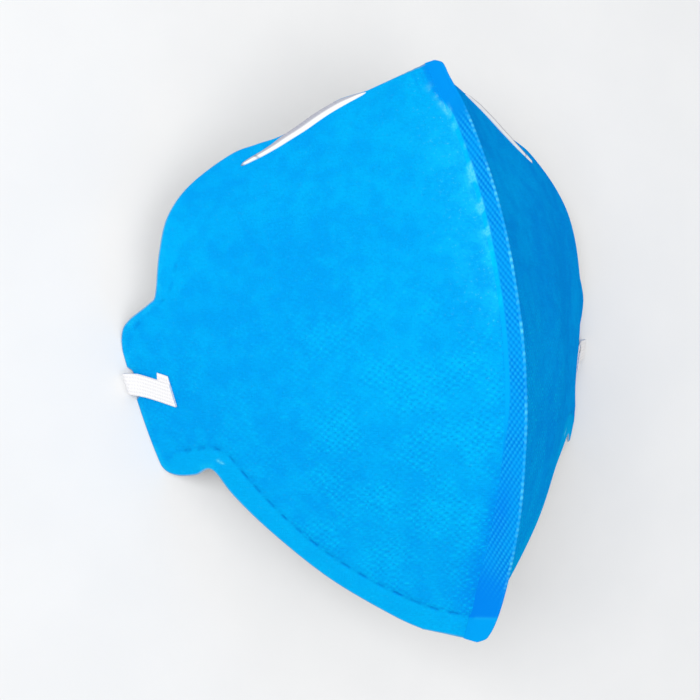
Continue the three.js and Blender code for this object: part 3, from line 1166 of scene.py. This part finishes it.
@dataclass
class SeamFin:
    """The welded centre seam that stands out between the panels. All sizes in millimetres.

    Attributes:
        form: the shared form.
        rows_at: from the nose to the chin: the weld's y, how far the fin stands out and how far its outer
            edge is drawn to the chin.
        thick: its thickness where it isn't crimped.
        lean: how far it leans to the left, in degrees.
        seat, foot: how high its foot's line stands over the weld, and how far it reaches down from there.
        root, root_span: how high the panels' cloth shows uncrimped on it, and y over which it does.
        crimp: waves per millimetre along y and along z of the crimp's rows of pits.
        crimp_from, crimp_to: how far from the nose's end and from the chin's it comes in.
        pit_depth: how deep each side of a pit is pressed.
        bead_pitch: the spacing of the beads on its outer edge.
        hem_meets, hem_slope: y where the pressed hem crosses it, and how that grows as the fin stands out.
        streak_span, threads_span: y over which the painted highlight and the painted glints at its foot show.
        rows, columns: the grid's size from the nose to the chin and from the foot to the outer edge.
    """

    form: MaskForm
    rows_at: Table = (
        (78.2, 2.1, 2.2), (77.2, 3.6, 3.2), (75.5, 3.9, 3.3), (73, 3.8, 2.7), (69, 4.0, 1.7),
        (62.5, 4.6, 0.8), (52, 5.0, 0.3), (30, 5.7, 0), (5, 5.4, 0), (-20, 6.2, 0), (-40, 7.6, 0),
        (-57, 8.0, -0.9), (-66.5, 7.7, -2.0), (-72, 7.1, -2.9), (-75.2, 6.4, -3.5), (-77.2, 5.6, -3.7),
        (-78.2, 3.6, -2.4),
    )
    thick: float = 0.95
    lean: float = 14.0
    seat: float = 0.42
    foot: float = 1.3
    root: float = 0.6
    root_span: Span = (-32, -10, 60, 68)
    crimp: float = 0.585
    crimp_from: tuple[float, float] = (19, 27)
    crimp_to: tuple[float, float] = (14, 30)
    pit_depth: float = 0.11
    bead_pitch: float = 1.7
    hem_meets: float = -71.3
    hem_slope: float = 0.15
    streak_span: Span = (0, 20, 58, 68)
    threads_span: Span = (24, 30, 60, 66)
    rows: int = 1040
    columns: int = 40

    def _rows(self) -> np.ndarray:
        """The table's curve, spaced evenly by a run in which width and slide count less than y.

        Returns:
            y, width and slide, each a column with one value for a row of the grid.
        """
        t = np.linspace(0, 1, FINE + FINE // 2)
        run = run_of(catmull_rom(self.rows_at, t) * np.array([1.0, 0.6, 0.6]))
        t = np.interp(np.linspace(0, run[-1], self.rows), run, t)
        return catmull_rom(self.rows_at, t)[:, None, :].transpose(2, 0, 1)

    def _crimp(self, weld_y: np.ndarray, middle: np.ndarray) -> np.ndarray:
        """The crimp's pits: a cos(k(y + z)) + (1 - a) cos(k(y - z)), k = 2 pi times the crimp.

        They are straight rows in the fin's own plane whatever way the weld turns, and a falls from the
        nose to the chin.

        Args:
            weld_y: the weld's y for each row.
            middle: the fin's middle surface.

        Returns:
            A value from -1 to 1, above 0 in a pit.
        """
        y, z = middle[..., 1], middle[..., 2]
        nose_way = 0.38 + 0.32 * smoothstep(-30, 25, weld_y)
        one, other = (np.cos(2 * np.pi * self.crimp * (y + way * z)) for way in (1, -1))
        return nose_way * one + (1 - nose_way) * other

    def _marks(self, y: np.ndarray, rise: np.ndarray, middle_y: np.ndarray, bead: np.ndarray,
               pit: np.ndarray, above_root: np.ndarray) -> dict[str, np.ndarray]:
        """What the finish reads.

        Args:
            y, rise: the weld's y, and how far over its foot's line each point is.
            middle_y: the point's own y.
            bead, pit: 1 on a bead of the outer edge, and from -1 to 1 on the crimp.
            above_root: 0 where the panels' cloth shows on it.

        Returns:
            Named values, 0 where the cloth is plain and 1 where it is fully marked.
        """
        past_hem = middle_y - self.hem_slope * rise - self.hem_meets
        below_hem = smoothstep(0.4, -0.4, past_hem)
        # painted shade: darker towards the chin's end and in a spot by the foot at y = -42, like the panel's
        chin_end_and_shade = smoothstep(-52, -62, middle_y) + 0.9 * bell(middle_y + 42, 9) * bell(rise - 1.5, 2.8)
        return {
            "pit": np.clip(pit, 0, 1),
            "bead": np.clip(-0.8 * pit, 0, 0.7),
            "edge": bead,
            "end": np.clip(chin_end_and_shade, 0, 1) * (1 - below_hem),
            "hem": below_hem,
            "root": (1 - above_root) * smoothstep(-30, -12, y),
            # painted highlight along the foot, like the panel's
            "streak": (1 - above_root) * plateau(self.streak_span, y),
            # painted glints along the foot
            "threads": smoothstep(1.1, 0.2, rise) * plateau(self.threads_span, y),
            "top": smoothstep(62, 68, y) + 0 * rise,
            # painted highlight where the hem crosses the fin
            "curl_highlight": bell(past_hem, 0.5) * smoothstep(0.2, 1.0, rise),
        }

    def wall(self) -> Wall:
        """The wall: rows of the table run out from the weld, and the curve through them runs to the chin.

        The pits make it thinner, and beads swell its outer edge by a cosine of the run. Both fade towards
        the ends. Its middle waves a little from side to side.

        Returns:
            The closed wall.
        """
        y, width, slide = self._rows()
        u = across_width(self.columns, 0.5)[None]
        step = 0.5
        fall = self.form.weld_height(y - step) - self.form.weld_height(y + step)
        to_chin = unit(np.stack([0 * y, 0 * y - 2 * step, fall], axis=-1))
        out = np.stack([0 * y, to_chin[..., 2], -to_chin[..., 1]], axis=-1)
        lean = np.radians(self.lean)
        left = np.array([1.0, 0.0, 0.0])
        across = np.cos(lean) * left - np.sin(lean) * out
        up = np.cos(lean) * out + np.sin(lean) * left
        weld = np.stack([0 * y, y, self.form.weld_height(y)], axis=-1)
        rise = u * (width + self.foot) - self.foot
        middle = weld + out * self.seat + up * rise[..., None] + to_chin * (u * slide)[..., None]
        from_edge = width - rise
        along = np.broadcast_to(run_of(weld[:, 0])[:, None], rise.shape)
        ends = smoothstep(*self.crimp_from, along) * smoothstep(*self.crimp_to, along[-1:] - along)
        root = (self.root + 1) * plateau(self.root_span, y) - 1
        above_root = smoothstep(root - 0.3, root + 0.3, rise)
        pit = ends * above_root * smoothstep(0.05, 0.45, from_edge) * self._crimp(y, middle)
        uneven = 0.6 + 0.25 * np.sin(along / 3.1) + 0.15 * np.sin(along / 1.3 + 2)
        bead = (smoothstep(0.5, 0.2, from_edge) * ends * uneven
                * (0.55 + 0.45 * np.cos(2 * np.pi * along / self.bead_pitch)))
        half = self.thick / 2 * (1 - 0.7 * smoothstep(0.4, 0.0, from_edge) ** 2)
        half = half + 0.04 * bead - self.pit_depth * pit
        wave = 0.25 * np.sin(along / 11.0) * u * u
        middle = middle + up * (0.06 * bead)[..., None] + across * wave[..., None]
        return Wall(middle + across * half[..., None], middle - across * half[..., None],
                    np.stack([rise, along], axis=-1),
                    self._marks(y, rise, middle[..., 1], bead, pit, above_root))

    def build(self, finish: bpy.types.Material) -> bpy.types.Object:
        """The piece."""
        return stand_in("seam_fin", "crimped", [self.wall()], [finish])


@dataclass
class NoseStrip:
    """The white strip where it shows in the top hem. All sizes in millimetres.

    Attributes:
        form: the shared form.
        side: which half.
        rows_at: from the cheek end to the nose end, y and drop of its middle line, and its width.
        thick, sunk: how far it stands out of the hem, and how far it reaches into it.
        length: its length along the hem.
        crease_at: how far along it a crease crosses it, as a part of its length.
        rows, columns: the grid's size along the strip and across it.
    """

    form: MaskForm
    side: Side
    rows_at: Table = (
        (53.9, 40.3, 0.4), (54.9, 38.8, 0.9), (56.3, 36.4, 1.2), (57.9, 33.8, 1.4), (60.1, 30.8, 1.8),
        (63.1, 26.6, 2.0), (66.7, 21.8, 2.0), (69.1, 17.8, 1.8), (70.3, 15.0, 1.1), (71.1, 13.0, 0.4),
    )
    thick: float = 0.4
    sunk: float = 0.35
    length: float = 38.0
    crease_at: float = 0.2
    rows: int = 260
    columns: int = 17

    def wall(self) -> Wall:
        """The wall: its rows run from the nose, v goes across them, and its top is crowned.

        u is the place on the curve through the table, from 0 at the cheek to 1 at the nose.

        Returns:
            The closed wall of this half's strip.
        """
        u = np.linspace(1, 0, self.rows)
        v = across_width(self.columns, 0.5)[None]
        step = 0.004
        ahead, behind = (catmull_rom(self.rows_at, np.clip(u + way, 0, 1)) for way in (step, -step))
        tangent = unit((ahead - behind)[:, :2])[:, None]
        middle_y, middle_drop, width = catmull_rom(self.rows_at, u).T[..., None]
        u = u[:, None]
        width = width * (1 - 0.8 * np.abs(2 * u - 1) ** 30)
        y = middle_y - (v - 0.5) * width * tangent[..., 1]
        drop = middle_drop + (v - 0.5) * width * tangent[..., 0]
        ground, out = self.form.face(y, drop), self.form.outward(y, drop)
        crown = np.clip(1 - np.abs(2 * v - 1) ** 3, 0, 1) * np.clip(1 - np.abs(2 * u - 1) ** 24, 0, 1)
        crease = bell(u - self.crease_at, 0.012) * 0.6
        tip = smoothstep(0.07, 0.0, u)
        height = self.thick * crown * (1 - 0.55 * crease) * (1 - 0.6 * tip) + 0.03 * np.sin(14 * np.pi * u)
        flat = np.stack([(v - 0.5) * width, u * self.length + 0 * v], axis=-1)
        # crease and rim darken the strip as painted shade
        marks = {"crease": np.maximum(crease, tip) + 0 * v, "rim": smoothstep(0.32, 0.58, v) + 0 * u}
        return self.side.wall(ground + out * height[..., None], ground - out * self.sunk, flat, marks)

    def build(self, finish: bpy.types.Material) -> bpy.types.Object:
        """The piece."""
        return stand_in(f"nose_strip_{self.side.word}", "set", [self.wall()], [finish])


# ------------------------------------------------------------------ elastic


@dataclass(frozen=True)
class Elastic:
    """Flat elastic. All sizes in millimetres.

    Attributes:
        wide, thick: its width and thickness.
        ribs, rib_depth: how many ribs run along it, and how deep the grooves between them are.
        columns: the grid's size across the band.
        crowd: how closely its columns crowd at both edges, up to 1.
    """

    wide: float = 6.0
    thick: float = 0.9
    ribs: int = 6
    rib_depth: float = 0.07
    columns: int = 37
    crowd: float = 0.55

    def across(self) -> np.ndarray:
        """Places across the band from 0 to 1, as one row."""
        return across_width(self.columns, self.crowd)[None]

    def along_line(self, spots: np.ndarray, sideways: np.ndarray) -> np.ndarray:
        """The middle surface of a band that follows a line.

        Args:
            spots: the line's points.
            sideways: for each, the direction across the band.

        Returns:
            The surface, rows by columns by 3.
        """
        off = (2 * self.across() - 1) * self.wide / 2
        return spots[:, None] + sideways[:, None] * off[..., None]

    def band(self, middle: np.ndarray, thick: float) -> Wall:
        """A band about a middle surface.

        Half its thickness at a place w across, from -1 to 1, is thick/2 (1 - w^8)^(1/2), less a groove
        between each two ribs.

        Args:
            middle: the middle surface, rows by columns by 3.
            thick: the band's thickness.

        Returns:
            The closed band.
        """
        w = 2 * self.across() - 1
        forward = unit(np.gradient(middle, axis=0))
        face = unit(np.cross(unit(np.gradient(middle, axis=1)), forward))
        rib = (0.5 - 0.5 * np.cos(np.pi * self.ribs * (w + 1))) ** 2 * (np.abs(w) < 0.96)
        half = thick / 2 * np.sqrt(np.clip(1 - w**8, 0.02, 1)) - self.rib_depth * (1 - rib)
        run = run_of(middle[:, self.columns // 2])[:, None]
        flat = np.stack([w * self.wide / 2 + 0 * run, run + 0 * w], axis=-1)
        return Wall(middle + face * half[..., None], middle - face * half[..., None], flat,
                    {"rib": (1 - rib) + 0 * run})


@dataclass
class HeadStrap:
    """The free stretch of a head strap: it leaves the tabs flat and lies on its edge between them.

    Attributes:
        node: the strap's node.
        elastic: what it is made of.
        half: x and y of half its way over the surface, from the right tab to the middle, in metres.
        start_height: how high its middle is where it comes out, one elastic on the other.
        turn_run: over how many millimetres it turns onto its edge.
        lift: how far it lies over the surface.
        steps: how many points its line has.
    """

    node: str
    elastic: Elastic
    half: Table
    start_height: float
    turn_run: float = 16.0
    lift: float = 0.05
    steps: int = 460

    def path(self) -> tuple[np.ndarray, np.ndarray]:
        """The band's middle line, which is the curve through the half way and its mirror image.

        The band turns about it from flat to upright by smoothstep of the run from the nearer end.

        Returns:
            The line's points in millimetres, and the direction across the band at each.
        """
        there = np.array(self.half) / MM
        back = there[:-1][::-1] * np.array([-1.0, 1.0])
        way = np.pad(catmull_rom(np.vstack([there, back]), np.linspace(0, 1, FINE)), ((0, 0), (0, 1)))
        spots = evenly(way, self.steps)
        run = np.linspace(0, run_of(way)[-1], self.steps)
        upright = smoothstep(0, self.turn_run, np.minimum(run, run[-1] - run))
        angle = (np.pi / 2) * upright * (1 + 0.06 * np.sin(run / 17.0))
        forward = unit(np.gradient(spots, axis=0))
        left = np.stack([-forward[:, 1], forward[:, 0], 0 * run], axis=-1)
        top = np.array([0.0, 0.0, 1.0])
        sideways = left * np.cos(angle)[:, None] + top * np.sin(angle)[:, None]
        tall = self.elastic.wide / 2 * np.abs(np.sin(angle)) + self.elastic.thick / 2 * np.abs(np.cos(angle))
        spots[:, 2] = tall + self.lift + (self.start_height - self.elastic.thick / 2) * (1 - upright)
        return spots, sideways

    def build(self, finish: bpy.types.Material) -> bpy.types.Object:
        """The piece, a free cord from tab to tab.

        Args:
            finish: its finish.

        Returns:
            The piece.
        """
        spots, sideways = self.path()
        band = self.elastic.band(self.elastic.along_line(spots, sideways), self.elastic.thick)
        piece = stand_in(self.node, "elastic", [band], [finish])
        tuple(spots[0] * MM)
        float(run_of(spots)[-1] * MM)
        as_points(spots * MM)
        return piece


@dataclass
class StrapEnd:
    """The two strap ends, one on the other, where they come round the tab's edge. Sizes in millimetres.

    Attributes:
        form, elastic, side: the shared form, what they are made of, and which half.
        y: where they cross the tab's edge.
        outer_face: down the outer face, how high the bands' middle line is and how far off the face.
        fold: x and z of the middle line from there round the edge to the inside, from the face's foot.
        straight, bend: how high the bands climb before they bend to the chin, and over what height.
        slant: how far they then run to the chin for each millimetre of height.
        climb: the length of face that they cover for each millimetre of height.
        corner_from, corner: the height from which the lower band's corner shows, and how far it reaches.
        thick: the thickness of one of them.
        lifts: how far off the middle line the upper band lies, and the lower one.
        steps: how many rows each band has.
    """

    form: MaskForm
    elastic: Elastic
    side: Side
    y: float = -3.65
    outer_face: Table = ((11.1, 0.62), (9.4, 0.66), (7.8, 0.70), (6.2, 0.80), (4.6, 1.0), (3.2, 1.4))
    fold: Table = (
        (-1.1, 2.9), (-1.75, 1.9), (-1.45, 0.95), (-0.3, 0.5), (1.6, 0.46), (4.2, 0.46), (7.3, 0.46),
    )
    straight: float = 1.5
    bend: float = 2.5
    slant: float = 0.45
    climb: float = 1.25
    corner_from: float = 8.5
    corner: float = 2.2
    thick: float = 0.5
    lifts: tuple[float, float] = (0.2, -0.3)
    steps: int = 150

    def _profile(self, lift: float) -> np.ndarray:
        """The middle line, offset outward on the outer face.

        Args:
            lift: how far it is offset.

        Returns:
            x and z from the face's foot, evenly spaced.
        """
        foot_drop = self.form.weld_height(np.array(self.y))
        foot = self.form.face(np.array(self.y), foot_drop)
        height, off = np.array(self.outer_face).T
        y, drop = np.full(len(height), self.y), foot_drop - height
        on_face = self.form.face(y, drop) - foot + self.form.outward(y, drop) * (off + lift)[:, None]
        line = np.vstack([on_face[:, [0, 2]], np.array(self.fold)])
        return evenly(catmull_rom(line, np.linspace(0, 1, FINE // 2)), self.steps)

    def _surface(self, profile: np.ndarray, corner: float) -> np.ndarray:
        """The band's middle surface: the profile carried across the width, and bent to the chin.

        With h the height over where the bend starts and b = min(h / bend, 1), the middle lies at
        y - slant b (h - bend b / 2), and the band reaches wider along y by (1 + (slant b / climb)^2)^(1/2),
        which keeps its own width.

        Args:
            profile: x and z of the middle line from the face's foot.
            corner: how far the end's corner reaches to the nose.

        Returns:
            The surface, rows by columns by 3.
        """
        v = self.elastic.across()
        foot = self.form.face_at_height(np.array(self.y), 0.0)
        x, z = profile[:, :1], profile[:, 1:]
        above = np.maximum(z - self.straight, 0)
        bent = np.minimum(above / self.bend, 1)
        widen = np.hypot(1, self.slant * bent / self.climb)
        y = self.y + (0.5 - v) * widen * self.elastic.wide
        y = y - self.slant * bent * (above - self.bend * bent / 2)
        y = y + corner * (1 - v) * smoothstep(self.corner_from - 0.3, self.corner_from + 0.3, z)
        edge = self.form.face_at_height(y, 0.0)[..., 0] - foot[0]
        return np.stack([foot[0] + x + edge * np.clip(z / 1.5, 0, 1), y, z + foot[2] + 0 * v], axis=-1)

    def build(self, finish: bpy.types.Material) -> bpy.types.Object:
        """The piece, with the upper band and then the lower one, whose corner shows.

        Args:
            finish: its finish.

        Returns:
            The piece.
        """
        walls = []
        for lift, corner in zip(self.lifts, (0.0, self.corner)):
            band = self.elastic.band(self._surface(self._profile(lift), corner), self.thick)
            walls.append(self.side.wall(band.outer, band.inner, band.flat, band.marks))
        return stand_in(f"strap_end_{self.side.word}", "bands", walls, [finish])


# ------------------------------------------------------------------ studio


@dataclass(frozen=True)
class Softbox:
    """A square area light. Sizes in metres, power in watts."""

    name: str
    place: Colour
    aim: Colour
    size: float
    power: float
    colour: Colour = (1.0, 1.0, 1.0)

    def build(self) -> None:
        """Adds the light, turned to its aim."""
        light = bpy.data.lights.new(self.name, "AREA")
        light.size = self.size
        light.energy = self.power
        light.color = self.colour
        lamp = bpy.data.objects.new(self.name, light)
        lamp.location = self.place
        lamp.rotation_euler = (Vector(self.aim) - Vector(self.place)).to_track_quat("-Z", "Y").to_euler()
        bpy.context.scene.collection.objects.link(lamp)


@dataclass(frozen=True)
class Studio:
    """The camera, the surface and the light. Sizes in metres, angles in degrees.

    Attributes:
        eye, aim: where the camera is and what it looks at.
        roll: how far the picture's upright leans from +Y.
        lens: focal length on a 36 mm wide sensor, in millimetres.
        floor_size: the side of the square surface.
        sky: the strength of the even light from all round.
    """

    eye: Colour = (-0.1675, 0.0075, 0.3584)
    aim: Colour = (-0.025, 0.002, 0.040)
    roll: float = -3.7
    lens: float = 67.0
    floor_size: float = 3.0
    sky: float = 0.58
    lights: tuple[Softbox, ...] = (
        Softbox("key", (-0.75, 0.25, 0.95), (0.0, 0.0, 0.03), 0.7, 7.3),
        Softbox("top", (0.15, -0.3, 1.2), (0.0, 0.0, 0.03), 0.9, 3.4),
    )

    def camera(self) -> bpy.types.Object:
        """The camera, looking from eye to aim with +Y up in the picture, leaned by the roll.

        Returns:
            The camera, set as the scene's own.
        """
        data = bpy.data.cameras.new("camera")
        data.lens = self.lens
        data.sensor_width = 36.0
        data.clip_start = 0.01
        camera = bpy.data.objects.new("camera", data)
        back = (Vector(self.eye) - Vector(self.aim)).normalized()
        right = Vector((0.0, 1.0, 0.0)).cross(back).normalized()
        turn = Matrix((right, back.cross(right), back)).transposed()
        camera.matrix_world = Matrix.Translation(self.eye) @ turn.to_4x4() @ Matrix.Rotation(
            np.radians(self.roll), 4, "Z")
        bpy.context.scene.collection.objects.link(camera)
        bpy.context.scene.camera = camera
        return camera

    def floor(self, finish: bpy.types.Material) -> bpy.types.Object:
        """The plain surface, just under the mask.

        Args:
            finish: its finish.

        Returns:
            The surface.
        """
        half = self.floor_size / 2
        corners = [(-half, -half, 0), (half, -half, 0), (half, half, 0), (-half, half, 0)]
        mesh = bpy.data.meshes.new("floor")
        mesh.from_pydata(corners, [], [(0, 1, 2, 3)])
        mesh.materials.append(finish)
        floor = bpy.data.objects.new("floor", mesh)
        bpy.context.scene.collection.objects.link(floor)
        floor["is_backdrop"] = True
        return floor

    def light(self) -> None:
        """The soft lights and the even light of the surroundings."""
        for softbox in self.lights:
            softbox.build()
        world = bpy.data.worlds.new("surroundings")
        world.use_nodes = True
        background = world.node_tree.nodes["Background"]
        background.inputs["Color"].default_value = (1.0, 1.0, 1.0, 1.0)
        background.inputs["Strength"].default_value = self.sky
        bpy.context.scene.world = world
        bpy.context.scene.view_settings.view_transform = "Standard"


# ------------------------------------------------------------------ building


# x and y of half of each strap's way over the surface, from the right tab to the middle, in metres
STRAP_UPPER_HALF: Table = (
    (-0.0681, -0.0027), (-0.0595, -0.0012), (-0.0542, 0.004), (-0.048, 0.0145), (-0.0415, 0.026),
    (-0.0353, 0.037), (-0.0305, 0.0423), (-0.024, 0.0443), (-0.0175, 0.0423), (-0.0127, 0.037),
    (-0.011, 0.0292), (-0.012, 0.018), (-0.0104, 0.0105), (-0.006, 0.006), (0, 0.0044),
)
STRAP_LOWER_HALF: Table = (
    (-0.0681, -0.0045), (-0.0595, -0.0068), (-0.0542, -0.012), (-0.048, -0.022), (-0.0415, -0.033),
    (-0.0353, -0.0438), (-0.0305, -0.0488), (-0.024, -0.0508), (-0.0175, -0.0488), (-0.0127, -0.0436),
    (-0.011, -0.0357), (-0.012, -0.0235), (-0.0104, -0.0158), (-0.006, -0.0112), (0, -0.0096),
)
# y and drop of the middle of each dent, its reach along y and down, and its depth, in millimetres
NEAR_DENTS = (
    Dent(38, 34, 20, 16, 0.5), Dent(5, 48, 26, 14, -0.35), Dent(-30, 30, 18, 12, 0.4),
    Dent(-48, 16, 16, 9, 0.55), Dent(20, 14, 22, 8, -0.25), Dent(-16, 66, 12, 7, 0.35),
    Dent(56, 18, 10, 10, 0.35), Dent(-68, 5, 8, 4, 0.4),
)
FAR_DENTS = (
    Dent(0, 22, 46, 6, 0.45), Dent(-6, 36, 44, 6, -0.45), Dent(4, 50, 42, 7, 0.5), Dent(0, 64, 30, 6, -0.3),
    Dent(58, 20, 9, 14, 0.4),
)


def write_sizes() -> None:
    """Works out the CAD box and the visual model's box as plain lists of numbers."""
    boxes = {name: [[float(x) for x in corner] for corner in box]
             for name, box in (("cad", cad_box), ("visual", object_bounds()))}


def main() -> None:
    """Builds the studio's camera, the straps, and then the other pieces, and reports each one."""
    logging.basicConfig(level=logging.INFO, format="%(message)s")
    studio = Studio()
    studio.camera()
    elastic, elastic_white = Elastic(), ElasticFinish().build()
    straps = [
        HeadStrap("strap_upper", elastic, STRAP_UPPER_HALF, start_height=1.0),
        HeadStrap("strap_lower", elastic, STRAP_LOWER_HALF, start_height=0.5),
    ]
    pieces = [strap.build(elastic_white) for strap in straps]
    studio.floor(FloorFinish().build())
    studio.light()

    form = MaskForm()
    lining, strip_white = LiningFinish().build(), StripFinish().build()
    near_blue = NonwovenFinish()
    # a copy of the blue, made deeper as painted shade for the left panel
    far_blue_shaded = NonwovenFinish("shell_blue_left_shaded", deep=(0.0015, 0.285, 0.85), pale=(0.0015, 0.385, 0.94))
    for side, dents, blue in ((Side.RIGHT, NEAR_DENTS, near_blue), (Side.LEFT, FAR_DENTS, far_blue_shaded)):
        pieces.append(Panel(form, side, dents).build(blue.build(), lining))
        pieces.append(NoseStrip(form, side).build(strip_white))
        pieces.append(StrapEnd(form, elastic, side).build(elastic_white))
    pieces.append(SeamFin(form).build(SeamFinish().build()))
    for piece in pieces:
        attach(piece, BODY)
        log.info("%s: %d faces", piece.name, len(piece.data.polygons))
    write_sizes()


if __name__ == "__main__":
    main()
